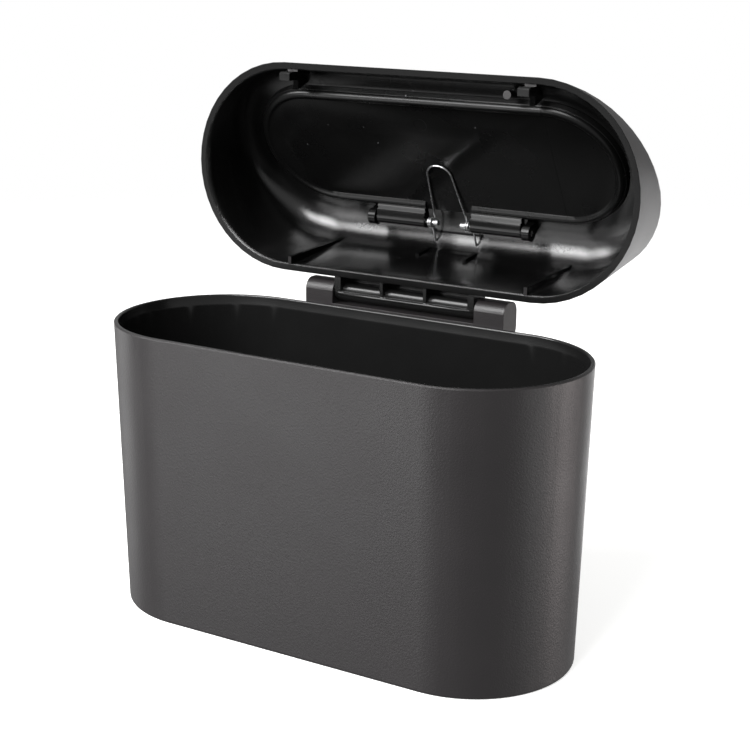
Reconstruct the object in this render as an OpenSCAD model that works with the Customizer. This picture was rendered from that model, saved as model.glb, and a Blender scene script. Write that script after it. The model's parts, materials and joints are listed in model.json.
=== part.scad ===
// Car trash bin: an oval body and a wedge-shaped lid with a sprung push-in flap.
// The origin is the middle of the underside. +X runs along the length, +Y to the hinge side, +Z up.
// The lid's pieces are drawn closed, and open_lid() then swings them to where they stand.

/* [Body] */
// Length of the body at its rim
body_l = 165; // [150:1:185]
// Depth of the body at its rim, front to back
body_w = 71; // [66:1:78]
// Height of the body
body_h = 96.5; // [80:0.5:120]
// How far each side leans in from rim to base
body_lean = 2.5; // [1:0.1:4]
// Wall thickness of the body
body_wall = 2.2; // [1.8:0.1:2.6]
// Thickness of the floor
floor_t = 2.4; // [1.8:0.1:3]
// Rounding of the edge round the base
base_round = 1.2; // [0.8:0.1:2]
// Rounding inside, where the floor meets the wall
floor_round = 3; // [2:0.5:5]
// Height of the step inside the rim
lip_h = 3; // [2:0.5:4]
// Width of the step inside the rim
lip_t = 0.6; // [0.4:0.1:0.9]
// Bevel on the rim's edges
rim_bevel = 0.4; // [0.2:0.1:0.5]

/* [Lid hinge] */
// Distance of the hinge axis behind the body's rim
hinge_back = 4.8; // [4.5:0.1:5.4]
// Height of the hinge axis above the body's rim
hinge_up = 4.8; // [4.5:0.1:5.4]
// How far the lid stands open
lid_open = 90.7; // [60:0.1:90.7]
// Diameter of the hinge pin
hinge_pin_d = 2.6; // [2:0.1:3]
// Length of the lid's knuckle block
knuckle_l = 53.4; // [48:0.2:60]
// Length of each of the body's lugs
lug_l = 10.8; // [8:0.2:12]
// Gap at each end of the knuckle block
knuckle_gap = 0.4; // [0.3:0.05:0.6]
// Height of the bracket behind the rim
bracket_h = 20; // [14:1:26]
// Rounding of a lug's top
lug_round = 3.6; // [2.6:0.1:3.8]
// Height of a lug above the hinge axis
lug_over = 3.2; // [3:0.1:4.2]
// Rounding of the bracket's lower back edge
bracket_round = 3; // [2:0.1:4]
// Walls between the pockets of the knuckle block
pocket_wall = 1.2; // [1:0.1:1.6]
// Wall at each end of the knuckle block
knuckle_end = 2.4; // [2:0.1:3]

/* [Lid] */
// How far the lid's rim lies inside the body's outline
lid_inset = 0.25; // [0.1:0.05:0.4]
// Gap between the closed lid and the body's rim
rim_gap = 0.2; // [0.1:0.05:0.3]
// Wall thickness of the lid
lid_wall = 2; // [1.6:0.1:2.4]
// Height of the sloping top above the middle of the lid's rim
lid_mid_h = 28.5; // [27:0.1:31]
// Slope of the top, low at the front
lid_slope = 32; // [30:0.5:33]
// Lean of the lid's front wall
lean_front = 12; // [10:0.5:13]
// Lean of the lid's end walls
lean_end = 7; // [6:0.5:8]
// Lean of the lid's back wall
lean_back = 6; // [5:0.5:7]
// Rounding of the top's edge at the front
round_front = 8; // [5:0.5:9]
// Rounding of the top's edge at the back
round_back = 5; // [4:0.5:6]

/* [Lid ribs and catches] */
// Distance of each front catch from the middle
catch_x = 44; // [38:1:46]
// Width of a front catch
catch_w = 4; // [3:0.2:5]
// Thickness of a front catch
catch_t = 2.8; // [2.2:0.1:3.4]
// How far a front catch reaches below the lid's rim
catch_reach = 4.5; // [3:0.5:6]
// Gap between a front catch and the inside of the body
catch_gap = 0.9; // [0.6:0.1:1.2]
// Distance of each back rib from the middle
rib_x = 45; // [40:1:47]
// Thickness of a back rib
rib_t = 1.2; // [0.9:0.1:1.6]
// How far a back rib stands out from the wall at the lid's rim
rib_out = 2.7; // [2:0.1:3.5]
// Length of a back rib, up the wall
rib_l = 37; // [28:1:38]
// Diameter of the small peg beside the right catch
peg_d = 2.8; // [2:0.1:3.4]
// Distance of the peg from the middle
peg_x = 36; // [33:0.5:38]

/* [Flap] */
// Distance from the flap's rim to the lid's outline at each end
flap_end_room = 13.25; // [12.5:0.25:19]
// Distance from the flap's rim to the lid's outline at the front, along the slope
flap_front_room = 8.1; // [7.8:0.1:10]
// Distance from the flap's rim to the lid's outline at the back, along the slope
flap_back_room = 26.1; // [25.6:0.1:28.4]
// Thickness of the flap's rim
flap_t = 3.2; // [2.6:0.1:3.4]
// How far the rim's side leans in below its edge
rim_draft = 0.8; // [0.4:0.1:1]
// Overlap of the flap's rim under the lid's opening
flap_lap = 3; // [2:0.1:4]
// Clearance round the flap in the opening
flap_play = 0.6; // [0.5:0.05:0.8]
// Depth of the flap's face below the lid's top
flap_sunk = 1.2; // [0.6:0.1:1.8]
// Width of the raised border inside the flap's rim
border_w = 3.4; // [2.6:0.1:4]
// Height of the raised border
border_h = 1; // [0.6:0.1:1.4]
// Rounding of the border's edge
border_round = 0.8; // [0.5:0.1:1]
// Gap between the flap's rim and the underside of the lid
flap_seat = 0.1; // [0.05:0.05:0.2]
// Distance of the flap's axis behind the flap's rim
flap_axis_back = 2.7; // [2.4:0.1:3]
// Depth of the flap's axis below the flap's rim
flap_axis_down = 1.8; // [1.6:0.1:2.2]

/* [Flap pivots and spring] */
// Diameter of a flap pin
flap_pin_d = 2; // [1.6:0.1:2.2]
// Radial play of the pins in the pieces that turn on them
pin_play = 0.05; // [0.02:0.01:0.1]
// Radius of the flap's barrels
barrel_r = 2.2; // [1.8:0.1:2.3]
// Distance from the middle to the inner end of a barrel
barrel_in = 9; // [8.6:0.1:10]
// Length of a barrel
barrel_l = 19; // [14:0.5:24]
// How far a barrel's arm reaches in front of the axis
arm_l = 3.7; // [3.4:0.1:4.2]
// Height of each of the two steps at the front of an arm
arm_step = 1; // [0.8:0.1:1.2]
// Thickness of the lid's ears
ear_t = 2.8; // [2:0.1:3.4]
// Radius of the lid's ears
ear_r = 2.9; // [2.4:0.1:3.1]
// Gap between an ear and its barrel
ear_gap = 0.6; // [0.4:0.05:0.8]
// Distance from the middle to the inner end of a flap pin
pin_in = 4.4; // [3.5:0.1:5]
// Diameter of the spring wire
wire_d = 0.7; // [0.5:0.05:0.8]
// Turns in each of the spring's two coils
coil_turns = 2; // [1:1:3]
// Distance between the turns of a coil
coil_pitch = 0.82; // [0.8:0.01:0.85]
// Length of the spring's loop, from the pin's axis
loop_l = 23.5; // [18:0.5:28]
// Half the width of the spring's loop at its round end
loop_half = 4.7; // [4:0.1:5.2]
// Distance from the middle to the outer end of a coil
coil_out = 8.35; // [8.2:0.05:8.4]
// Gap between a spring tail and the rib beside it
tail_side_gap = 0.15; // [0.1:0.05:0.3]
// Thickness of the ribs beside the spring's tails
hook_t = 1.4; // [1.2:0.1:1.8]
// Height of these ribs on the back wall
hook_h = 1.1; // [0.8:0.1:1.6]
// Drop of these ribs below the sloping top
hook_drop = 2; // [1.6:0.1:2.6]
// Height above the lid's rim where these ribs start
hook_from = 26; // [22:0.5:30]

/* [Hidden] */

$fn = 64;
eps = 0.01;

// The body
body_straight = body_l - body_w;
base_r = body_w / 2 - body_lean;
lean_a = atan(body_lean / body_h);

// The lid hinge
hinge_y = body_w / 2 + hinge_back;
hinge_z = body_h + hinge_up;
lug_face_gap = 0.1;
lug_r = hinge_back - lug_face_gap;
knuckle_seat = 0.8;
knuckle_r = hinge_up - knuckle_seat;
stop_gap = 0.3;
ledge_z = hinge_z - knuckle_r - stop_gap;
lug_in = knuckle_l / 2 + knuckle_gap;
lug_out = lug_in + lug_l;
pin_grip = 0.02;
pin_blind = 2.5;
pin_end_gap = 0.2;
pocket_count = 3;
pocket_roof = 1.6;
pocket_round = 0.8;
pocket_past_axis = 0.5;
sleeve_wall = 0.9;

// The lid
lid_z = body_h + rim_gap;
lid_w = body_w - 2 * lid_inset;
lid_l = body_l - 2 * lid_inset;
lid_straight = lid_l - lid_w;
end_steps = 24;
round_steps = 6;
inner_mid_h = lid_mid_h - lid_wall / cos(lid_slope);

// The lid's ribs and catches: how far their roots go into the wall, and start above the rim
root_sunk = 0.8;
root_lift = 0.4;
rib_tip = 0.7;
catch_lead = 1;
catch_rib_t = 2;
catch_rib_foot = 2.3;
catch_rib_lean = 20;
catch_rib_gap = 1.3;
peg_lift = 0.5;
peg_inset = 6;
hook_sunk = 0.6;

// The flap, on the slope of the lid's top
flap_l = lid_l - 2 * flap_end_room;
flap_w = lid_w / cos(lid_slope) - flap_front_room - flap_back_room;
flap_shift = (flap_back_room - flap_front_room) / 2;
rim_step = 0.25;
panel_sunk = 0.2;
opening_l = flap_l - 2 * flap_lap;
opening_w = flap_w - 2 * flap_lap;
flap_top = -lid_wall - flap_seat;
flap_under = flap_top - flap_t;
flap_back = flap_w / 2 - flap_shift;
axis_y = flap_back + flap_axis_back;
axis_z = flap_under - flap_axis_down;
dish_z = flap_under + border_h;
dish_back = flap_back - border_w - border_round;
barrel_out = barrel_in + barrel_l;
ear_in = barrel_out + ear_gap;
ear_out = ear_in + ear_t;

// The spring: its coils sit loosely on the pins, and its loop lies on the flap
coil_play = 0.25;
coil_r = flap_pin_d / 2 + coil_play + wire_d / 2;
tail_x = coil_out - wire_d / 2;
tail_a = 82;
tail_gap = 0.3;
leg_gap = 0.05;
wire_sides = 8;
coil_steps = 20;
hook_in = coil_out + tail_side_gap;
hook_round = 2.5;

// Points on an arc round c, from angle a to angle b
function arc(c, r, a, b, n) = [for (i = [0:n]) c + r * [cos(a + (b - a) * i / n), sin(a + (b - a) * i / n)]];

// A solid with a long-oval plan: the children are half of its section, from the middle outwards
module oval_sweep(straight) {
    for (side = [-1, 1])
        translate([side * straight / 2, 0, 0])
            rotate([0, 0, -90 * side])
                rotate_extrude(angle = 180) children();
    rotate([90, 0, 90])
        linear_extrude(height = straight, center = true) {
            children();
            mirror([1, 0]) children();
        }
}

// A flat plate with a long-oval outline
module oval_plate(l, w, t) {
    linear_extrude(height = t) {
        square([l - w, w], center = true);
        for (side = [-1, 1])
            translate([side * (l - w) / 2, 0]) circle(d = w);
    }
}

// A profile in Y and Z, drawn out along X between two places
module along_x(x0, x1) {
    translate([x0, 0, 0])
        rotate([90, 0, 90])
            linear_extrude(height = x1 - x0) children();
}

// A round bar along X at a place in Y and Z
module bar(y, z, r, x0, x1) {
    translate([x0, y, z])
        rotate([0, 90, 0])
            cylinder(r = r, h = x1 - x0);
}

// The children on both sides of the middle
module both_sides() {
    children();
    mirror([1, 0, 0]) children();
}

module body_section() {
    outer_c = [base_r - base_round * (1 - sin(lean_a)) / cos(lean_a), base_round];
    inner_z = floor_t + floor_round;
    inner_c = [base_r + (inner_z * sin(lean_a) - body_wall - floor_round) / cos(lean_a), inner_z];
    wall_r = body_w / 2 - body_wall / cos(lean_a);
    lip_z = body_h - lip_h;
    polygon(concat(
        [[0, 0]],
        arc(outer_c, base_round, -90, -lean_a, 6),
        [
            [body_w / 2 - rim_bevel * tan(lean_a), body_h - rim_bevel],
            [body_w / 2 - rim_bevel, body_h],
            [wall_r + lip_t + rim_bevel, body_h],
            [wall_r + lip_t, body_h - rim_bevel],
            [wall_r + lip_t, lip_z],
            [wall_r - (lip_h + lip_t) * tan(lean_a), lip_z - lip_t],
        ],
        arc(inner_c, floor_round, -lean_a, -90, 6),
        [[0, floor_t]]
    ));
}

// The bracket behind the rim, up to height top
module bracket_section(top) {
    root_y = body_w / 2 - body_wall / 2;
    back_y = hinge_y + lug_r;
    front_y = hinge_y - lug_r;
    join_z = body_h - 2 * rim_bevel;
    polygon(concat(
        [
            [root_y, body_h - bracket_h],
            [body_w / 2, body_h - bracket_h],
        ],
        arc([back_y - bracket_round, join_z], bracket_round, -75, 0, 6),
        [
            [back_y, top],
            [front_y, top],
            [front_y, join_z],
            [root_y, join_z],
        ]
    ));
}

// The round top of a lug, above the hinge axis
module lug_top() {
    across = 2 * lug_r;
    translate([hinge_y - lug_r, hinge_z + lug_over - lug_round]) {
        translate([lug_round, 0]) circle(r = lug_round);
        translate([across - lug_round, 0]) circle(r = lug_round);
        translate([lug_round, 0]) square([across - 2 * lug_round, lug_round]);
    }
    translate([hinge_y - lug_r, hinge_z - 1]) square([across, lug_over - lug_round + 1]);
}

module bin_body() {
    color([0.13, 0.13, 0.135])
        difference() {
            union() {
                oval_sweep(body_straight) body_section();
                along_x(-lug_out, lug_out) bracket_section(ledge_z);
                both_sides()
                    along_x(lug_in, lug_out) {
                        bracket_section(hinge_z);
                        lug_top();
                    }
            }
            bar(hinge_y, hinge_z, hinge_pin_d / 2 + pin_grip, -lug_out - 1, lug_out - pin_blind);
        }
}

module lid_hinge_pin() {
    color([0.62, 0.63, 0.65])
        bar(hinge_y, hinge_z, hinge_pin_d / 2, -lug_out + pin_end_gap, lug_out - pin_blind - pin_end_gap);
}

// Swings what is drawn closed to where the lid stands
module open_lid() {
    translate([0, hinge_y, hinge_z])
        rotate([-lid_open, 0, 0])
            translate([0, -hinge_y, -hinge_z]) children();
}

// Places what is drawn flat on the lid's sloping top, with +Y up the slope and +Z outwards
module on_slope() {
    translate([0, 0, lid_z + lid_mid_h])
        rotate([lid_slope, 0, 0]) children();
}

// The same place as a function, for points: from the slope's Y and Z to the closed lid's
function off_slope(y, z) = [
    y * cos(lid_slope) - z * sin(lid_slope),
    y * sin(lid_slope) + z * cos(lid_slope) + lid_z + lid_mid_h,
];

// Lean of the lid's wall where its outline faces back by ny: -1 at the front, 1 at the back
function lid_lean(ny) = ny > 0 ? lean_end + (lean_back - lean_end) * ny : lean_end - (lean_front - lean_end) * ny;

// The rounding between the lid's wall and its sloping top there, as [distance out, height, radius].
// It is never taller than its wall.
function lid_round(reach, mid_h, ny) =
    let (
        lean = lid_lean(ny),
        m = tan(lid_slope) * ny,
        top = mid_h + m * reach,
        bend = 90 - lean + atan(m),
        r = min(round_front + (round_back - round_front) * (ny + 1) / 2, 0.9 * top / tan(bend / 2)),
        z = (top - m * r / cos(lean) - r * sqrt(1 + m * m)) / (1 + m * tan(lean))
    )
    [reach - r / cos(lean) - z * tan(lean), z, r];

// The lid's section there, as points [distance out, height]: the leaning wall from height foot, then the
// rounding, to where the sloping top begins
function lid_section(reach, mid_h, ny, foot) =
    let (c = lid_round(reach, mid_h, ny))
    concat(
        [[reach - foot * tan(lid_lean(ny)), foot]],
        arc([c[0], c[1]], c[2], lid_lean(ny), 90 + atan(tan(lid_slope) * ny), round_steps)
    );

// Distance from the middle to the lid's outside, or by t less, at its rim
function lid_reach(ny, t) = lid_w / 2 - t / cos(lid_lean(ny));

// A closed block of the lid's form: its outside, or by t less, what is hollow in it
module lid_block(t, foot) {
    mid_h = lid_mid_h - t / cos(lid_slope);
    ends = [for (side = [1, -1], i = [0:end_steps]) [side, -90 * side + 180 * i / end_steps]];
    n = len(ends);
    rings = round_steps + 2;
    points = [for (e = ends)
        let (ny = sin(e[1]), section = lid_section(lid_reach(ny, t), mid_h, ny, foot))
            for (p = section)
                [e[0] * lid_straight / 2 + cos(e[1]) * p[0], ny * p[0], p[1]]];
    sides = [for (i = [0:n - 1], k = [0:rings - 2])
        let (a = i * rings + k, b = (i + 1) % n * rings + k)
            each [[a, a + 1, b + 1], [a, b + 1, b]]];
    bottom = [for (i = [0:n - 1]) i * rings];
    top = [for (i = [n - 1:-1:0]) i * rings + rings - 1];
    translate([0, 0, lid_z])
        polyhedron(points = points, faces = concat(sides, [bottom, top]));
}

module knuckle_section() {
    root_y = lid_w / 2 - lid_wall / 2;
    translate([hinge_y, hinge_z]) circle(r = knuckle_r);
    translate([root_y, hinge_z - knuckle_r]) square([hinge_y - root_y, 2 * knuckle_r]);
    translate([hinge_y - eps, hinge_z]) square([knuckle_r + eps, knuckle_r]);
}

// Pockets in the underside of the knuckle block, between its thin walls. The pin's sleeve crosses them.
module knuckle_pockets() {
    inside = knuckle_l - 2 * knuckle_end;
    pocket_l = (inside - (pocket_count - 1) * pocket_wall) / pocket_count;
    front_y = lid_w / 2;
    depth_y = hinge_y + pocket_past_axis - front_y;
    h = 2 * knuckle_r - pocket_roof;
    difference() {
        for (i = [0:pocket_count - 1])
            translate([-inside / 2 + i * (pocket_l + pocket_wall), front_y, hinge_z - knuckle_r - 1])
                linear_extrude(height = h + 1)
                    rounded_slot(pocket_l, depth_y, pocket_round);
        along_x(-knuckle_l / 2, knuckle_l / 2) sleeve_section();
    }
}

// The sleeve round the hinge pin, and what fills the block behind it
module sleeve_section() {
    r = hinge_pin_d / 2 + sleeve_wall;
    translate([hinge_y, hinge_z]) circle(r = r);
    translate([hinge_y - r, hinge_z]) square([2 * r, knuckle_r]);
}

// A rectangle with round corners, made of squares and circles
module rounded_slot(l, w, r) {
    translate([r, 0]) square([l - 2 * r, w]);
    translate([0, r]) square([l, w - 2 * r]);
    for (x = [r, l - r], y = [r, w - r])
        translate([x, y]) circle(r = r);
}

// A thin rib up the back wall, widest at the lid's rim
module back_rib() {
    wall_y = lid_reach(1, lid_wall);
    far_y = wall_y - rib_l * tan(lean_back);
    along_x(rib_x - rib_t / 2, rib_x + rib_t / 2)
        translate([0, lid_z])
            polygon([
                [wall_y + root_sunk, root_lift],
                [wall_y - rib_out, root_lift],
                [far_y - rib_tip, rib_l],
                [far_y + root_sunk, rib_l],
            ]);
}

// A catch at the front: a finger that reaches inside the body's rim, and the thin rib that carries it
module front_catch() {
    wall_y = -lid_reach(-1, lid_wall);
    finger_y = -body_w / 2 + body_wall + catch_gap;
    inner_y = finger_y + catch_t;
    along_x(catch_x - catch_w / 2, catch_x + catch_w / 2)
        translate([0, lid_z])
            polygon([
                [wall_y - root_sunk, root_lift],
                [finger_y, root_lift],
                [finger_y, -catch_reach + catch_lead],
                [finger_y + catch_lead / 2, -catch_reach],
                [inner_y, -catch_reach],
                [inner_y, catch_rib_foot],
                [wall_y, catch_rib_foot + catch_lead],
                [wall_y - root_sunk, root_lift + catch_lead],
            ]);
    along_x(catch_x - catch_rib_t / 2, catch_x + catch_rib_t / 2) catch_rib_section(wall_y);
}

// The rib's section: from its foot it leans forward, up to the lid's top just in front of the flap
module catch_rib_section(wall_y) {
    top = off_slope(-flap_w / 2 - flap_shift - catch_rib_gap, -lid_wall);
    foot_z = lid_z + catch_rib_foot;
    inner_y = top[0] + (top[1] - foot_z) * tan(catch_rib_lean);
    edge_y = wall_y + root_sunk;
    polygon([
        [wall_y, foot_z],
        [inner_y, foot_z],
        top,
        top + [0, root_sunk],
        [edge_y, lid_z + inner_mid_h + edge_y * tan(lid_slope) + root_sunk],
        [wall_y, foot_z + catch_lead],
    ]);
}

// A rib in the back corner of the lid, beside a spring tail: up the wall, round the corner, under the top
module tail_hook() {
    deep = lid_section(lid_reach(1, lid_wall - hook_sunk), inner_mid_h + hook_sunk, 1, hook_from);
    end_y = deep[len(deep) - 1][0];
    edge_z = inner_mid_h + end_y * tan(lid_slope) - hook_drop;
    edge_y = lid_reach(1, lid_wall + hook_h);
    bend_z = edge_z - hook_round;
    bend_y = edge_y - bend_z * tan(lean_back) - hook_round;
    along_x(hook_in, hook_in + hook_t)
        translate([0, lid_z])
            polygon(concat(
                deep,
                [[end_y, edge_z]],
                arc([bend_y, bend_z], hook_round, 90, lean_back, 5),
                [[edge_y - hook_from * tan(lean_back), hook_from]]
            ));
}

// An ear that holds the outer end of a flap pin
module ear() {
    along_x(ear_in, ear_out) {
        translate([axis_y, axis_z]) circle(r = ear_r);
        translate([axis_y - ear_r * 0.7, axis_z]) square([ear_r * 1.4, -axis_z - lid_wall + 0.5]);
    }
}

module lid_shell() {
    color([0.12, 0.12, 0.125])
        open_lid()
            difference() {
                union() {
                    difference() {
                        lid_block(0, 0);
                        lid_block(lid_wall, -1);
                    }
                    along_x(-knuckle_l / 2, knuckle_l / 2) knuckle_section();
                    both_sides() {
                        back_rib();
                        front_catch();
                        tail_hook();
                        on_slope() ear();
                    }
                    peg();
                }
                on_slope()
                    translate([0, -flap_shift, -lid_wall - 1])
                        oval_plate(opening_l, opening_w, lid_wall + 2);
                knuckle_pockets();
                bar(hinge_y, hinge_z, hinge_pin_d / 2 + pin_play, -knuckle_l, knuckle_l);
                on_slope() both_sides() bar(axis_y, axis_z, flap_pin_d / 2 + pin_grip, ear_in - 1, ear_out + 1);
            }
}

// The small round peg under the front of the top
module peg() {
    peg_y = -lid_w / 2 + peg_inset;
    top_z = inner_mid_h + peg_y * tan(lid_slope) + lid_wall / 4;
    translate([peg_x, peg_y, lid_z + peg_lift])
        cylinder(d = peg_d, h = top_z - peg_lift);
}

module push_flap() {
    panel_under = flap_top - panel_sunk;
    panel_t = -flap_sunk - panel_under;
    color([0.1, 0.1, 0.105])
        open_lid() on_slope()
            difference() {
                union() {
                    translate([0, -flap_shift, flap_under])
                        oval_sweep(flap_l - flap_w) tray_section();
                    translate([0, -flap_shift, panel_under])
                        oval_plate(opening_l - 2 * flap_play, opening_w - 2 * flap_play, panel_t);
                    both_sides() barrel();
                }
                translate([-barrel_in, dish_back, flap_under - 1])
                    cube([2 * barrel_in, flap_w, border_h + 1]);
                both_sides()
                    bar(axis_y, axis_z, flap_pin_d / 2 + pin_play, barrel_in - 1, barrel_out + 1);
            }
}

// Half of the flap's section: a plate with a raised border.
// From below, its side is round, then has a fine step, then leans out.
module tray_section() {
    edge_r = 2 * border_round;
    out = flap_w / 2;
    in = out - border_w;
    polygon(concat(
        [
            [0, border_h],
            [in - border_round, border_h],
            [in, border_h - border_round],
            [in + border_round, 0],
        ],
        arc([out - rim_draft - edge_r, edge_r], edge_r, -90, 0, 5),
        [
            [out - rim_draft + rim_step, edge_r],
            [out, flap_t],
            [0, flap_t],
        ]
    ));
}

// A barrel of the flap with its arm: two steps at the front, then a slope down to the barrel
module barrel() {
    front_y = axis_y - arm_l;
    edge_z = flap_under - 2 * arm_step;
    to_edge = [front_y - axis_y, edge_z - axis_z];
    touch_a = atan2(to_edge[1], to_edge[0]) + acos(barrel_r / norm(to_edge));
    along_x(barrel_in, barrel_out) {
        translate([axis_y, axis_z]) circle(r = barrel_r);
        polygon([
            [front_y - arm_step, flap_under + border_h / 2],
            [front_y - arm_step, flap_under - arm_step],
            [front_y, flap_under - arm_step],
            [front_y, edge_z],
            [axis_y + barrel_r * cos(touch_a), axis_z + barrel_r * sin(touch_a)],
            [axis_y, axis_z],
            [axis_y, axis_z + barrel_r],
            [flap_back - border_w / 2, flap_under + flap_t / 2],
        ]);
    }
}

module flap_pin() {
    color([0.72, 0.73, 0.74])
        open_lid() on_slope() bar(axis_y, axis_z, flap_pin_d / 2, pin_in, ear_out);
}

module flap_pin_right() {
    flap_pin();
}

module flap_pin_left() {
    mirror([1, 0, 0]) flap_pin();
}

// The wire's path on the right side, in the slope's frame: tail, coil, leg, and half of the loop
function spring_half() =
    let (
        coil_a = 360 * coil_turns + 90 - tail_a,
        steps = round(coil_a / 360 * coil_steps),
        coil = [for (i = [0:steps])
            let (a = tail_a + coil_a * i / steps)
                [tail_x - coil_pitch * (a - tail_a) / 360, axis_y + coil_r * cos(a), axis_z + coil_r * sin(a)]],
        tip = coil[0] + tail_reach() * [0, sin(tail_a), -cos(tail_a)],
        rest_z = dish_z - wire_d / 2 - leg_gap,
        bow = [for (a = [0:15:90])
            [loop_half * cos(a), axis_y - loop_l + loop_half * (1 - sin(a)), rest_z]]
    )
    concat([tip], coil, bow);

// Length of a tail from its coil to just short of the lid's back corner
function tail_reach() =
    let (
        corner = lid_round(lid_reach(1, lid_wall), inner_mid_h, 1),
        start = off_slope(axis_y + coil_r * cos(tail_a), axis_z + coil_r * sin(tail_a)),
        away = start - [corner[0], corner[1] + lid_z],
        a = lid_slope + tail_a - 90,
        along = away * [cos(a), sin(a)],
        reach = corner[2] - wire_d / 2 - tail_gap
    )
    sqrt(along * along - away * away + reach * reach) - along;

function unit(v) = v / norm(v);

// A closed tube of round wire along a path of points
module wire(path) {
    n = len(path);
    dirs = [for (i = [0:n - 1]) unit(path[min(i + 1, n - 1)] - path[max(i - 1, 0)])];
    side = [1, 0, 0];
    points = [for (i = [0:n - 1])
        let (
            v = unit(cross(dirs[i], abs(dirs[i][0]) > 0.8 ? [0, 0, 1] : side)),
            u = cross(v, dirs[i])
        )
            for (k = [0:wire_sides - 1])
                path[i] + wire_d / 2 * (cos(360 * k / wire_sides) * u + sin(360 * k / wire_sides) * v)];
    sides = [for (i = [0:n - 2], k = [0:wire_sides - 1])
        let (a = i * wire_sides + k, b = i * wire_sides + (k + 1) % wire_sides)
            each [[a, b, b + wire_sides], [a, b + wire_sides, a + wire_sides]]];
    caps = [
        [for (k = [wire_sides - 1:-1:0]) k],
        [for (k = [0:wire_sides - 1]) (n - 1) * wire_sides + k],
    ];
    polyhedron(points = points, faces = concat(sides, caps));
}

module flap_spring() {
    half = spring_half();
    other = [for (i = [len(half) - 2:-1:0]) [-half[i][0], half[i][1], half[i][2]]];
    color([0.8, 0.81, 0.82])
        open_lid() on_slope() wire(concat(half, other));
}

bin_body();
lid_shell();
lid_hinge_pin();
push_flap();
flap_pin_left();
flap_pin_right();
flap_spring();
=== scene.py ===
"""Looks of a car trash bin: an oval body, a hinged lid and a sprung flap in the lid.

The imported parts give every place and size. Each moulding is a welded copy of its part, with its faces
sorted by how the mould finished them, and the spring's wire is swept along its own path. The lid's back
corner is given a fuller rounding than its part has.
"""

from __future__ import annotations

import json
import logging
import math
from dataclasses import dataclass
from enum import Enum, IntEnum

import bmesh
import bpy
import numpy as np
from mathutils import Matrix, Vector

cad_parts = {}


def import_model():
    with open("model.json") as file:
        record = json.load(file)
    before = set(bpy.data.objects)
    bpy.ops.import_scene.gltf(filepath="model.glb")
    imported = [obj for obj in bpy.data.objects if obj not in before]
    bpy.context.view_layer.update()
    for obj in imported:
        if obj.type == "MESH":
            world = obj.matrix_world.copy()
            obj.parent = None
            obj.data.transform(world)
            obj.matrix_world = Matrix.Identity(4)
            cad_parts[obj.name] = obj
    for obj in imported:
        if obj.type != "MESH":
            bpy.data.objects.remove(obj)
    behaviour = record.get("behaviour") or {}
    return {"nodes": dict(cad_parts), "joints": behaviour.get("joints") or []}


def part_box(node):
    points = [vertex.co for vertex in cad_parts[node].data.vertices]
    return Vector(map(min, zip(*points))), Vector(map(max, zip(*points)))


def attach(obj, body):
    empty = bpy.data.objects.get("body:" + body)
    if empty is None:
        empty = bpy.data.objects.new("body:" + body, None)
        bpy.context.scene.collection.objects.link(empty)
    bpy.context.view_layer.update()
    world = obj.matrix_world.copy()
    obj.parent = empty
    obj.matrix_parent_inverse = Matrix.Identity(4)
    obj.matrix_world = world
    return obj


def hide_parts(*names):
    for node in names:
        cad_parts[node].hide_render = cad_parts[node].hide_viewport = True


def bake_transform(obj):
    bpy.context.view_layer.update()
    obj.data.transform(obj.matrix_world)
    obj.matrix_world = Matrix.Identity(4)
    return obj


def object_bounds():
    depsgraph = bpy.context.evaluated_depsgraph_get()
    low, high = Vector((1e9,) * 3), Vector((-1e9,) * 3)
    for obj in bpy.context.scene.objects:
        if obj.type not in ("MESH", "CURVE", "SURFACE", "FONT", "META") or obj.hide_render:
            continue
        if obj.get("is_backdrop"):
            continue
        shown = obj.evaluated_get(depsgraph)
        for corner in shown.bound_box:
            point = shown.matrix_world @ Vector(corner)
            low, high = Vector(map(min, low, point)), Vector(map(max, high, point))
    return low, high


LOG = logging.getLogger("trash_bin")

MM = 0.001
WELD = 0.002 * MM
FLAT_DEG = 0.4
SHARP_DEG = 28.0
# A face counts as facing a direction from this cosine on.
FACING = 0.9
# The scale of the weighted normals: 50 is neutral, and at 100 the large faces set their edges' normals.
LARGE_FACES_LEAD = 100
ABS_IOR = 1.5
WHITE = (1.0, 1.0, 1.0, 1.0)
LID_OPEN_DEG = 90.7
LID_SLOPE_DEG = 32.0


def linear(code: str) -> tuple[float, float, float, float]:
    """Turns an sRGB colour into the linear values that shaders take.

    Args:
        code: The colour as "#rrggbb".

    Returns:
        Red, green, blue and an alpha of 1.
    """
    parts = [int(code[i : i + 2], 16) / 255 for i in (1, 3, 5)]
    low = [c / 12.92 if c <= 0.04045 else ((c + 0.055) / 1.055) ** 2.4 for c in parts]
    return low[0], low[1], low[2], 1.0


def add_node(
    tree: bpy.types.NodeTree,
    kind: str,
    settings: dict | None = None,
    inputs: dict | None = None,
    output: str | int = 0,
) -> bpy.types.NodeSocket | None:
    """Adds a node to a tree, with its settings, values and links.

    Args:
        tree: The node tree that gets the node.
        kind: The node's type name.
        settings: Properties of the node.
        inputs: For each input, by name or number, a value or the socket that it is linked to.
        output: The output to hand back, by name or number.

    Returns:
        That output socket, or None where the node has none.
    """
    node = tree.nodes.new(kind)
    for name, value in (settings or {}).items():
        setattr(node, name, value)
    for name, value in (inputs or {}).items():
        if isinstance(value, bpy.types.NodeSocket):
            tree.links.new(value, node.inputs[name])
        else:
            node.inputs[name].default_value = value
    return node.outputs[output] if len(node.outputs) else None


def per_mm(size_mm: float) -> float:
    """Gives a texture's scale, in metres, for a pattern whose features are size_mm wide."""
    return 1 / (size_mm * MM)


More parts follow.
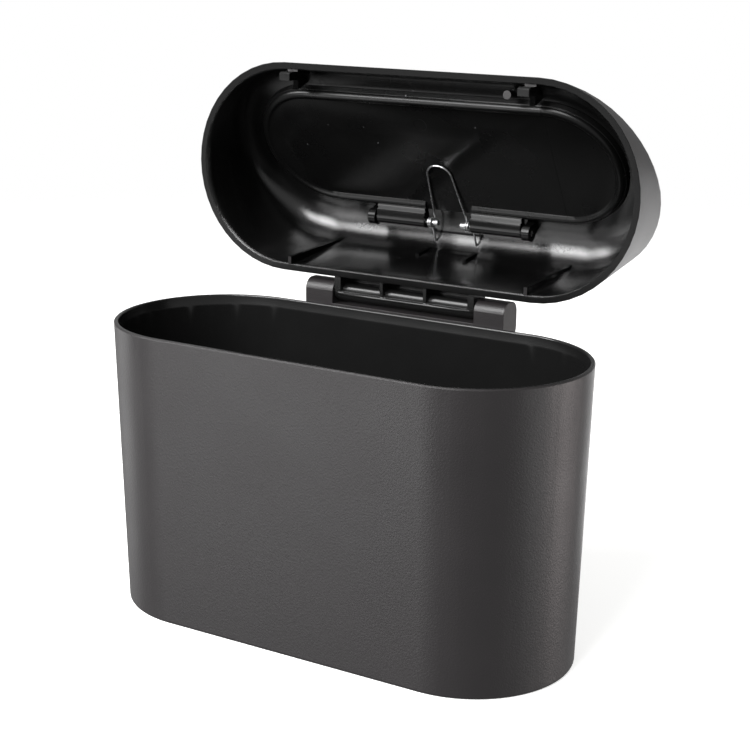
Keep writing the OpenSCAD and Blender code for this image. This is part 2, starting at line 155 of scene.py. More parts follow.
def start_material(name: str) -> tuple[bpy.types.Material, bpy.types.NodeTree, bpy.types.NodeSocket]:
    """Makes an empty node material.

    Args:
        name: The material's name.

    Returns:
        The material, its tree, and the socket that gives a point's place on the object.
    """
    material = bpy.data.materials.new(name)
    material.use_nodes = True
    tree = material.node_tree
    tree.nodes.clear()
    return material, tree, add_node(tree, "ShaderNodeTexCoord", output="Object")


def round_edges(tree: bpy.types.NodeTree, radius_mm: float) -> bpy.types.NodeSocket:
    """Gives the normal of a surface whose edges are rounded, as the mould leaves them."""
    return add_node(tree, "ShaderNodeBevel", {"samples": 4}, {"Radius": radius_mm * MM})


@dataclass(frozen=True)
class GrainedAbs:
    """Black ABS from a spark-eroded mould: fine even pits that spread a highlight into a grey sheen."""

    name: str
    colour: str = "#1c1a1b"
    pale: str = "#221f20"
    roughness: float = 0.42
    roughness_drift: float = 0.03
    cloud_mm: float = 30.0
    # The real pits are about 0.1 mm wide. They are drawn this coarse so that they show.
    grain_mm: float = 0.6
    grain_depth_mm: float = 0.07
    edge_mm: float = 0.3

    def material(self) -> bpy.types.Material:
        """Builds the grained plastic."""
        material, tree, place = start_material(self.name)
        cloud = add_node(
            tree,
            "ShaderNodeTexNoise",
            inputs={"Vector": place, "Scale": per_mm(self.cloud_mm), "Detail": 3.0},
        )
        colour = add_node(
            tree,
            "ShaderNodeMix",
            {"data_type": "RGBA"},
            {0: cloud, 6: linear(self.colour), 7: linear(self.pale)},
            output=2,
        )
        roughness = add_node(
            tree,
            "ShaderNodeMapRange",
            inputs={
                "Value": cloud,
                "From Min": 0.3,
                "From Max": 0.7,
                "To Min": self.roughness - self.roughness_drift,
                "To Max": self.roughness + self.roughness_drift,
            },
        )
        grain = add_node(
            tree,
            "ShaderNodeTexNoise",
            inputs={"Vector": place, "Scale": per_mm(self.grain_mm), "Detail": 2.0},
        )
        normal = add_node(
            tree,
            "ShaderNodeBump",
            inputs={
                "Height": grain,
                "Distance": self.grain_depth_mm * MM,
                "Normal": round_edges(tree, self.edge_mm),
            },
        )
        shader = add_node(
            tree,
            "ShaderNodeBsdfPrincipled",
            inputs={"Base Color": colour, "Roughness": roughness, "Normal": normal, "IOR": ABS_IOR},
        )
        add_node(tree, "ShaderNodeOutputMaterial", inputs={"Surface": shader})
        return material


@dataclass(frozen=True)
class Scuff:
    """A patch of rubbed plastic: its middle and its half sizes."""

    middle_mm: tuple[float, float, float]
    half_mm: tuple[float, float, float]


@dataclass(frozen=True)
class EjectorMark:
    """The round print that an ejector pin of the mould leaves: its middle and radius."""

    middle_mm: tuple[float, float, float]
    radius_mm: float = 1.6


@dataclass(frozen=True)
class PolishedAbs:
    """Black ABS from a polished mould: deep black with soft mirror highlights and a faint haze."""

    name: str
    colour: str = "#070707"
    roughness: float = 0.16
    haze_roughness: float = 0.24
    haze_mm: float = 14.0
    # The specular level: 0.5 is clean ABS. Less dims a zone's reflections as painted shade, and more
    # brightens them as a painted highlight.
    painted_reflection_level: float = 0.5
    scuff_colour: str = "#4a4a4c"
    scuff_roughness: float = 0.5
    scuff_grain_mm: float = 1.1
    ripple_mm: float = 9.0
    ripple_depth_mm: float = 0.01
    edge_mm: float = 0.3
    speck_mm: float = 0.0
    speck_colour: str = "#6c6c6e"
    mark_depth_mm: float = 0.05
    mark_edge_mm: float = 0.15
    marks: tuple[EjectorMark, ...] = ()
    scuffs: tuple[Scuff, ...] = ()

    def scuff_mask(self, tree: bpy.types.NodeTree, place: bpy.types.NodeSocket) -> bpy.types.NodeSocket:
        """Builds the mask of the scuffs.

        Args:
            tree: The material's tree.
            place: The socket with a point's place.

        Returns:
            A socket that is 1 where the plastic is rubbed and 0 where it is clean.
        """
        grain = add_node(
            tree,
            "ShaderNodeTexNoise",
            inputs={"Vector": place, "Scale": per_mm(self.scuff_grain_mm), "Detail": 4.0, "Roughness": 0.7},
        )
        rough = add_node(
            tree,
            "ShaderNodeMapRange",
            inputs={"Value": grain, "From Min": 0.5, "From Max": 0.62},
        )
        total = add_node(tree, "ShaderNodeValue")
        for scuff in self.scuffs:
            off = add_node(
                tree,
                "ShaderNodeVectorMath",
                {"operation": "SUBTRACT"},
                {0: place, 1: tuple(c * MM for c in scuff.middle_mm)},
            )
            share = add_node(
                tree,
                "ShaderNodeVectorMath",
                {"operation": "DIVIDE"},
                {0: off, 1: tuple(c * MM for c in scuff.half_mm)},
            )
            away = add_node(
                tree, "ShaderNodeVectorMath", {"operation": "LENGTH"}, {0: share}, output="Value"
            )
            fall = add_node(
                tree,
                "ShaderNodeMapRange",
                {"interpolation_type": "SMOOTHSTEP"},
                {"Value": away, "From Min": 0.4, "From Max": 1.0, "To Min": 1.0, "To Max": 0.0},
            )
            total = add_node(tree, "ShaderNodeMath", {"operation": "MAXIMUM"}, {0: total, 1: fall})
        return add_node(tree, "ShaderNodeMath", {"operation": "MULTIPLY"}, {0: total, 1: rough})

    def speck_mask(self, tree: bpy.types.NodeTree, place: bpy.types.NodeSocket) -> bpy.types.NodeSocket:
        """Builds the mask of the dust on the plastic.

        Args:
            tree: The material's tree.
            place: The socket with a point's place.

        Returns:
            A socket that is 1 on a speck and 0 between them.
        """
        bent = add_node(
            tree,
            "ShaderNodeTexNoise",
            inputs={"Vector": place, "Scale": per_mm(self.speck_mm / 8), "Detail": 2.0},
        )
        away = add_node(
            tree,
            "ShaderNodeTexVoronoi",
            inputs={"Vector": place, "Scale": per_mm(self.speck_mm), "Randomness": 1.0},
            output="Distance",
        )
        ragged = add_node(
            tree, "ShaderNodeMath", {"operation": "MULTIPLY_ADD"}, {0: bent, 1: 0.12, 2: away}
        )
        return add_node(
            tree,
            "ShaderNodeMapRange",
            inputs={"Value": ragged, "From Min": 0.075, "From Max": 0.105, "To Min": 0.7, "To Max": 0.0},
        )

    def mark_height(
        self, tree: bpy.types.NodeTree, place: bpy.types.NodeSocket, height: bpy.types.NodeSocket
    ) -> bpy.types.NodeSocket:
        """Adds the ejector marks to the surface's height.

        Args:
            tree: The material's tree.
            place: The socket with a point's place.
            height: The height without them, where 1 is the depth of the ripple.

        Returns:
            The height with them.
        """
        for mark in self.marks:
            away = add_node(
                tree,
                "ShaderNodeVectorMath",
                {"operation": "DISTANCE"},
                {0: place, 1: tuple(c * MM for c in mark.middle_mm)},
                output="Value",
            )
            disc = add_node(
                tree,
                "ShaderNodeMapRange",
                inputs={
                    "Value": away,
                    "From Min": (mark.radius_mm - self.mark_edge_mm) * MM,
                    "From Max": mark.radius_mm * MM,
                    "To Min": -self.mark_depth_mm / self.ripple_depth_mm,
                    "To Max": 0.0,
                },
            )
            height = add_node(tree, "ShaderNodeMath", {"operation": "ADD"}, {0: height, 1: disc})
        return height

    def material(self) -> bpy.types.Material:
        """Builds the polished plastic."""
        material, tree, place = start_material(self.name)
        haze = add_node(
            tree,
            "ShaderNodeTexNoise",
            inputs={"Vector": place, "Scale": per_mm(self.haze_mm), "Detail": 4.0},
        )
        gloss = add_node(
            tree,
            "ShaderNodeMapRange",
            inputs={
                "Value": haze,
                "From Min": 0.35,
                "From Max": 0.7,
                "To Min": self.roughness,
                "To Max": self.haze_roughness,
            },
        )
        mask = self.scuff_mask(tree, place)
        colour = add_node(
            tree,
            "ShaderNodeMix",
            {"data_type": "RGBA"},
            {0: mask, 6: linear(self.colour), 7: linear(self.scuff_colour)},
            output=2,
        )
        if self.speck_mm:
            colour = add_node(
                tree,
                "ShaderNodeMix",
                {"data_type": "RGBA"},
                {0: self.speck_mask(tree, place), 6: colour, 7: linear(self.speck_colour)},
                output=2,
            )
        roughness = add_node(
            tree, "ShaderNodeMix", {"data_type": "FLOAT"}, {0: mask, 2: gloss, 3: self.scuff_roughness}
        )
        ripple = add_node(
            tree,
            "ShaderNodeTexNoise",
            inputs={"Vector": place, "Scale": per_mm(self.ripple_mm), "Detail": 1.0},
        )
        normal = add_node(
            tree,
            "ShaderNodeBump",
            inputs={
                "Height": self.mark_height(tree, place, ripple),
                "Distance": self.ripple_depth_mm * MM,
                "Normal": round_edges(tree, self.edge_mm),
            },
        )
        shader = add_node(
            tree,
            "ShaderNodeBsdfPrincipled",
            inputs={
                "Base Color": colour,
                "Roughness": roughness,
                "Normal": normal,
                "IOR": ABS_IOR,
                "Specular IOR Level": self.painted_reflection_level,
            },
        )
        add_node(tree, "ShaderNodeOutputMaterial", inputs={"Surface": shader})
        return material


@dataclass(frozen=True)
class DrawnSteel:
    """Bright steel, drawn or ground: a clear metal with fine streaks along its length."""

    name: str
    colour: str = "#c2c2c3"
    roughness: float = 0.2
    streak_roughness: float = 0.34
    streak_mm: float = 0.35
    streak_stretch: float = 0.08

    def material(self) -> bpy.types.Material:
        """Builds the steel."""
        material, tree, place = start_material(self.name)
        along = add_node(
            tree,
            "ShaderNodeMapping",
            {"vector_type": "POINT"},
            {"Vector": place, "Scale": (self.streak_stretch, 1.0, 1.0)},
        )
        streaks = add_node(
            tree,
            "ShaderNodeTexNoise",
            inputs={"Vector": along, "Scale": per_mm(self.streak_mm), "Detail": 3.0},
        )
        roughness = add_node(
            tree,
            "ShaderNodeMapRange",
            inputs={"Value": streaks, "To Min": self.roughness, "To Max": self.streak_roughness},
        )
        shader = add_node(
            tree,
            "ShaderNodeBsdfPrincipled",
            inputs={"Base Color": linear(self.colour), "Metallic": 1.0, "Roughness": roughness},
        )
        add_node(tree, "ShaderNodeOutputMaterial", inputs={"Surface": shader})
        return material


class Finish(Enum):
    """The finishes of the bin's pieces."""

    BODY_OUTSIDE = GrainedAbs("abs_spark_eroded_body")
    BODY_INSIDE = PolishedAbs("abs_polished_body_inside", colour="#121212", roughness=0.2)
    LID_OUTSIDE = GrainedAbs("abs_spark_eroded_lid")
    # The rim, the fittings and the flap's inside reflect less than clean ABS as painted shade, and the
    # lid's inside reflects more as a painted highlight.
    LID_RIM = PolishedAbs("abs_satin_lid_rim", roughness=0.2, haze_roughness=0.28, painted_reflection_level=0.15)
    KNUCKLE = PolishedAbs("abs_polished_knuckle", colour="#121212", roughness=0.22, haze_roughness=0.28)
    FITTINGS = PolishedAbs("abs_polished_fittings", roughness=0.12, haze_roughness=0.18, painted_reflection_level=0.25)
    LID_INSIDE = PolishedAbs(
        "abs_polished_lid_inside",
        edge_mm=4.0,
        painted_reflection_level=0.85,
        marks=(
            EjectorMark((-37.1, 44.8, 170.2), 1.2),
            EjectorMark((-2.4, 44.6, 170.5)),
            EjectorMark((-15.2, 57.1, 110.4)),
        ),
        scuffs=(
            Scuff((-37.0, 76.0, 116.5), (10.0, 4.0, 2.6)),
            Scuff((37.0, 76.0, 116.5), (13.0, 4.0, 2.6)),
        ),
    )
    FLAP_OUTSIDE = GrainedAbs("abs_spark_eroded_flap")
    FLAP_INSIDE = PolishedAbs(
        "abs_satin_flap_inside",
        roughness=0.26,
        haze_roughness=0.34,
        painted_reflection_level=0.3,
        speck_mm=7.0,
        marks=(
            EjectorMark((-1.9, 49.6, 157.8), 2.4),
            EjectorMark((1.3, 63.0, 135.9), 2.4),
            EjectorMark((63.7, 62.3, 135.6), 1.4),
        ),
    )
    PINS = DrawnSteel("steel_ground_pin")
    SPRING = DrawnSteel("steel_drawn_spring_wire", streak_mm=0.2)


class LidZone(IntEnum):
    """The zones of the lid that the mould finished in different ways."""

    OUTSIDE = 0
    INSIDE = 1
    RIM = 2
    FITTINGS = 3
    KNUCKLE = 4


class FlapZone(IntEnum):
    """The zones of the flap that the mould finished in different ways."""

    INSIDE = 0
    OUTSIDE = 1
    BARREL = 2


LID_ZONE_FINISH = {
    LidZone.OUTSIDE: Finish.LID_OUTSIDE,
    LidZone.INSIDE: Finish.LID_INSIDE,
    LidZone.RIM: Finish.LID_RIM,
    LidZone.FITTINGS: Finish.FITTINGS,
    LidZone.KNUCKLE: Finish.KNUCKLE,
}
FLAP_ZONE_FINISH = {
    FlapZone.INSIDE: Finish.FLAP_INSIDE,
    FlapZone.OUTSIDE: Finish.FLAP_OUTSIDE,
    FlapZone.BARREL: Finish.FITTINGS,
}


class FinishShelf:
    """Makes each finish once and hands it out."""

    def __init__(self) -> None:
        """Starts with no material made."""
        self.made: dict[Finish, bpy.types.Material] = {}

    def get(self, finish: Finish) -> bpy.types.Material:
        """Gives the material of a finish, made on its first use.

        Args:
            finish: The finish that is wanted.

        Returns:
            Its material.
        """
        if finish not in self.made:
            self.made[finish] = finish.value.material()
        return self.made[finish]


def new_piece(name: str, mesh: bpy.types.Mesh) -> bpy.types.Object:
    """Adds a mesh to the scene as a piece at the origin."""
    piece = bpy.data.objects.new(name, mesh)
    bpy.context.scene.collection.objects.link(piece)
    return piece


def welded_copy(node: bpy.types.Object, name: str) -> bpy.types.Object:
    """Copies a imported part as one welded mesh, with its flat triangles joined into whole faces.

    Args:
        node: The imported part.
        name: The new piece's name.

    Returns:
        The piece.
    """
    work = bmesh.new()
    work.from_mesh(node.data)
    bmesh.ops.remove_doubles(work, verts=work.verts, dist=WELD)
    bmesh.ops.dissolve_limit(
        work, angle_limit=math.radians(FLAT_DEG), verts=work.verts, edges=work.edges
    )
    mesh = bpy.data.meshes.new(name)
    work.to_mesh(mesh)
    work.free()
    return new_piece(name, mesh)


def bake_modifiers(piece: bpy.types.Object) -> None:
    """Turns a piece with modifiers into a plain mesh."""
    graph = bpy.context.evaluated_depsgraph_get()
    mesh = bpy.data.meshes.new_from_object(piece.evaluated_get(graph))
    mesh.name = piece.name
    piece.modifiers.clear()
    piece.data = mesh


def smooth_by_angle(piece: bpy.types.Object, sharp_deg: float = SHARP_DEG) -> None:
    """Shades a piece smooth, with its real edges kept sharp and its flat faces kept flat.

    Args:
        piece: The piece.
        sharp_deg: Faces that meet at more than this angle keep an edge.
    """
    piece.data.shade_smooth()
    piece.data.set_sharp_from_angle(angle=math.radians(sharp_deg))
    weighted = piece.modifiers.new("even_normals", "WEIGHTED_NORMAL")
    weighted.keep_sharp = True
    weighted.weight = LARGE_FACES_LEAD
    bake_modifiers(piece)


def face_table(mesh: bpy.types.Mesh) -> tuple[np.ndarray, np.ndarray, np.ndarray]:
    """Reads a mesh as arrays.

    Args:
        mesh: The mesh.

    Returns:
        The faces' middles, the faces' normals, and the vertices.
    """
    middles = np.zeros(len(mesh.polygons) * 3)
    normals = np.zeros(len(mesh.polygons) * 3)
    places = np.zeros(len(mesh.vertices) * 3)
    mesh.polygons.foreach_get("center", middles)
    mesh.polygons.foreach_get("normal", normals)
    mesh.vertices.foreach_get("co", places)
    return middles.reshape(-1, 3), normals.reshape(-1, 3), places.reshape(-1, 3)


def dress_by_face(
    piece: bpy.types.Object, finishes: list[bpy.types.Material], index: np.ndarray
) -> None:
    """Gives a piece its materials, one number for each face.

    Args:
        piece: The piece.
        finishes: The materials, in the order that the numbers count.
        index: The number of each face's material.
    """
    piece.data.materials.clear()
    for material in finishes:
        piece.data.materials.append(material)
    piece.data.polygons.foreach_set("material_index", index.astype(np.int32))
    piece.data.update()


@dataclass
class BinBody:
    """The oval body with the bracket and lugs of its hinge: grained outside, polished inside.

    A face counts as inside when it lies further in than inner_share of the wall's thickness.
    """

    node: bpy.types.Object
    wall: float = 2.2 * MM
    lean: float = 2.5 * MM
    height: float = 96.5 * MM
    inner_share: float = 0.4

    def outline_gap(self, places: np.ndarray) -> np.ndarray:
        """Measures how far points lie outside the body's leaning oval wall.

        Args:
            places: The points.

        Returns:
            The distance of each, below zero inside.
        """
        low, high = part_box(self.node.name)
        end_r = -low.y
        straight = high.x - end_r
        reach = end_r - self.lean * (1 - np.clip(places[:, 2] / self.height, 0, 1))
        past_end = np.maximum(np.abs(places[:, 0]) - straight, 0)
        return np.hypot(past_end, places[:, 1]) - reach

    def build(self, shelf: FinishShelf) -> bpy.types.Object:
        """Builds and dresses the body.

        Args:
            shelf: Where the finishes come from.

        Returns:
            The piece.
        """
        piece = welded_copy(self.node, "bin_body_moulding")
        smooth_by_angle(piece)
        middles, _, _ = face_table(piece.data)
        inside = self.outline_gap(middles) < -self.wall * self.inner_share
        above_floor = middles[:, 2] > self.wall / 2
        dress_by_face(
            piece,
            [shelf.get(Finish.BODY_OUTSIDE), shelf.get(Finish.BODY_INSIDE)],
            inside & above_floor,
        )
        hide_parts(self.node.name)
        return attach(piece, "body")


@dataclass
class LidCorner:
    """The fuller rounding inside the lid's back corner, as a strip to be joined to the lid.

    It is worked out in millimetres in the closed pose, from the lid's rim. The values from wall to
    round_front are the lid's own. fuller is what the strip adds to the rounding's radius at the middle of
    the back, sunk is how far its edges lie below the lid's face, and root is its depth in the wall.
    """

    half_w: float
    half_straight: float
    wall: float = 2.0
    middle_h: float = 28.5
    slope_deg: float = LID_SLOPE_DEG
    lean_back: float = 6.0
    lean_end: float = 7.0
    lean_front: float = 12.0
    round_back: float = 5.0
    round_front: float = 8.0
    fuller: float = 3.0
    sunk: float = 0.03
    root: float = 0.6
    start_deg: float = -12.0
    end_steps: int = 20
    arc_steps: int = 16

    def arc(self, out: float, wall: float, more: float) -> list[tuple[float, float]]:
        """Works out the rounding between the leaning wall and the sloping top.

        Args:
            out: How far this place faces back: 1 at the back, 0 at an end, -1 at the front.
            wall: How far inside the lid's outer face the rounding meets wall and top.
            more: What is added to the radius of the lid's own rounding.

        Returns:
            Points, as distance out and height, from the wall to the top.
        """
        far = self.lean_back if out > 0 else self.lean_front
        lean = math.radians(self.lean_end + (far - self.lean_end) * abs(out))
        rise = math.tan(math.radians(self.slope_deg)) * out
        reach = self.half_w - wall / math.cos(lean)
        top = self.middle_h - wall / math.cos(math.radians(self.slope_deg)) + rise * reach
        radius = self.round_front + (self.round_back - self.round_front) * (out + 1) / 2 + more
        height = (top - rise * radius / math.cos(lean) - radius * math.hypot(1, rise)) / (
            1 + rise * math.tan(lean)
        )
        middle = reach - radius / math.cos(lean) - height * math.tan(lean)
        last = math.pi / 2 + math.atan(rise)
        turns = [lean + (last - lean) * i / self.arc_steps for i in range(self.arc_steps + 1)]
        return [(middle + radius * math.cos(t), height + radius * math.sin(t)) for t in turns]

    def ring(self, side: int, degrees: float) -> list[Vector]:
        """Works out the strip's section at one place round the oval.

        Args:
            side: 1 for the right end, -1 for the left end.
            degrees: The angle from the end's own direction towards the back.

        Returns:
            The section's points, with the visible rounding first and the root in the wall after it.
        """
        a = math.radians(degrees)
        share = (degrees - self.start_deg) / (90 - self.start_deg)
        swell = share * share * (3 - 2 * share)
        out = math.sin(a)
        seen = self.arc(out, self.wall - self.sunk, (self.fuller + self.sunk) * swell - self.sunk)
        root = self.arc(out, self.wall - self.root, 0.0)
        return [
            Vector((side * (self.half_straight + math.cos(a) * reach), out * reach, height))
            for reach, height in seen + root[::-1]
        ]

    def build(self, to_open: Matrix) -> bpy.types.Object:
        """Builds the strip as a closed solid.

        Args:
            to_open: The matrix from the closed lid's rim, in millimetres, to the part's frame.

        Returns:
            The strip.
        """
        step = (90 - self.start_deg) / self.end_steps
        turns = [self.start_deg + step * i for i in range(self.end_steps + 1)]
        rings = [self.ring(1, t) for t in turns] + [self.ring(-1, t) for t in reversed(turns)]
        work = bmesh.new()
        rows = [[work.verts.new(to_open @ p) for p in ring] for ring in rings]
        for near, far in zip(rows, rows[1:]):
            for i in range(len(near)):
                k = (i + 1) % len(near)
                work.faces.new((near[i], far[i], far[k], near[k]))
        work.faces.new(rows[0])
        work.faces.new(rows[-1][::-1])
        bmesh.ops.recalc_face_normals(work, faces=work.faces)
        mesh = bpy.data.meshes.new("lid_corner")
        work.to_mesh(mesh)
        work.free()
        return new_piece("lid_corner", mesh)


@dataclass
class LidShell:
    """The wedge-shaped lid: grained outside, polished inside, with a satin rim.

    rim_z, half_w and back_y are the rim's height, its half width and the place of the back wall in the
    closed pose. near is how close to rim_z the rim's faces lie, and knuckle_root is how far the root of the
    knuckle block may stand out.
    """

    node: bpy.types.Object
    axis: Vector
    open_deg: float = LID_OPEN_DEG
    rim_z: float = 96.7 * MM
    half_w: float = 35.25 * MM
    back_y: float = 35.3 * MM
    near: float = 0.15 * MM
    knuckle_root: float = 1.0 * MM
    # How far from the middle, along the hinge, the ribs, ears, peg and catches begin and end.
    fittings_mm: tuple[tuple[float, float], ...] = (
        (8.4, 10.0),
        (28.5, 31.5),
        (34.5, 37.5),
        (41.9, 46.1),
    )

    def zones(self, mesh: bpy.types.Mesh) -> np.ndarray:
        """Sorts the lid's faces into its zones, with the lid turned to its closed pose.

        A face is outside when no part of the shell lies in front of its plane. The root of the knuckle
        block stands a little way out of the back wall, so knuckle_root is let through.

        Args:
            mesh: The lid's mesh.

        Returns:
            The LidZone of each face.
        """
        turn = np.array(Matrix.Rotation(math.radians(self.open_deg), 3, "X")).T
        pivot = np.array(self.axis)
        middles, normals, places = face_table(mesh)
        middles, places = ((p - pivot) @ turn + pivot for p in (middles, places))
        normals = normals @ turn
        shell = places[(places[:, 2] > self.rim_z - self.near) & (places[:, 1] < self.back_y)]
        ahead = (normals @ shell.T - np.sum(normals * middles, axis=1)[:, None]).max(axis=1)
        zone = np.where(ahead < self.knuckle_root, LidZone.OUTSIDE, LidZone.INSIDE)
        zone[middles[:, 2] < self.rim_z - self.near] = LidZone.INSIDE
        at_rim = np.abs(middles[:, 2] - self.rim_z) < self.near
        zone[at_rim & (normals[:, 2] < -FACING)] = LidZone.RIM
        zone[middles[:, 1] > self.back_y] = LidZone.KNUCKLE
        zone[(zone == LidZone.INSIDE) & self.on_fittings(mesh)] = LidZone.FITTINGS
        return zone

    def join_corner(self, piece: bpy.types.Object) -> None:
        """Joins the fuller rounding of the back corner to the lid.

        Args:
            piece: The lid's moulding.
        """
        half_w = self.half_w / MM
        low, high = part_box(self.node.name)
        to_open = (
            Matrix.Translation(self.axis)
            @ Matrix.Rotation(math.radians(-self.open_deg), 4, "X")
            @ Matrix.Translation(Vector((0, 0, self.rim_z)) - self.axis)
            @ Matrix.Scale(MM, 4)
        )
        corner = LidCorner(half_w, high.x / MM - half_w).build(to_open)
        union = piece.modifiers.new("inner_round", "BOOLEAN")
        union.operation = "UNION"
        union.solver = "EXACT"
        union.object = corner
        bake_modifiers(piece)
        bpy.data.objects.remove(corner)

    def on_fittings(self, mesh: bpy.types.Mesh) -> np.ndarray:
        """Finds the faces that lie wholly between the two sides of a rib, ear, peg or catch.

        Args:
            mesh: The lid's mesh.

        Returns:
            For each face, whether it does.
        """
        found = np.zeros(len(mesh.polygons), dtype=bool)
        for face in mesh.polygons:
            across = [abs(mesh.vertices[v].co.x) for v in face.vertices]
            found[face.index] = any(
                low * MM <= min(across) and max(across) <= high * MM for low, high in self.fittings_mm
            )
        return found

    def build(self, shelf: FinishShelf) -> bpy.types.Object:
        """Builds and dresses the lid.

        Args:
            shelf: Where the finishes come from.

        Returns:
            The piece.
        """
        piece = welded_copy(self.node, "lid_moulding")
        self.join_corner(piece)
        smooth_by_angle(piece)
        dress_by_face(
            piece,
            [shelf.get(LID_ZONE_FINISH[zone]) for zone in LidZone],
            self.zones(piece.data),
        )
        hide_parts(self.node.name)
        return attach(piece, "lid")


@dataclass
class PushFlap:
    """The sprung flap: a grained panel on a satin tray, with the polished barrels that it turns on."""

    node: bpy.types.Object
    axis: Vector
    slope_deg: float = LID_SLOPE_DEG - LID_OPEN_DEG
    barrel_reach: float = 3.3 * MM
    panel_near: float = 0.3 * MM

    def build(self, shelf: FinishShelf) -> bpy.types.Object:
        """Builds and dresses the flap.

        Args:
            shelf: Where the finishes come from.

        Returns:
            The piece.
        """
        piece = welded_copy(self.node, "flap_moulding")
        smooth_by_angle(piece)
        middles, normals, _ = face_table(piece.data)
        outwards = np.array(Matrix.Rotation(math.radians(self.slope_deg), 3, "X") @ Vector((0, 0, 1)))
        height = middles @ outwards
        outer = (normals @ outwards > FACING) & (height > height.max() - self.panel_near)
        from_axis = np.linalg.norm((middles - np.array(self.axis))[:, 1:], axis=1)
        zone = np.where(outer, FlapZone.OUTSIDE, FlapZone.INSIDE)
        zone[from_axis < self.barrel_reach] = FlapZone.BARREL
        dress_by_face(piece, [shelf.get(FLAP_ZONE_FINISH[z]) for z in FlapZone], zone)
        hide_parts(self.node.name)
        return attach(piece, "flap")


@dataclass
class SteelPin:
    """A ground steel pin with broken edges."""

    node: bpy.types.Object
    body: str
    edge: float = 0.15 * MM
    corner_deg: float = 60.0
    sharp_deg: float = 25.0

    def build(self, shelf: FinishShelf) -> bpy.types.Object:
        """Builds and dresses the pin.

        Args:
            shelf: Where the finish comes from.

        Returns:
            The piece.
        """
        piece = welded_copy(self.node, self.node.name + "_ground")
        bevel = piece.modifiers.new("broken_edge", "BEVEL")
        bevel.width = self.edge
        bevel.segments = 2
        bevel.limit_method = "ANGLE"
        bevel.angle_limit = math.radians(self.corner_deg)
        bake_modifiers(piece)
        smooth_by_angle(piece, self.sharp_deg)
        piece.data.materials.clear()
        piece.data.materials.append(shelf.get(Finish.PINS))
        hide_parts(self.node.name)
        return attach(piece, self.body)


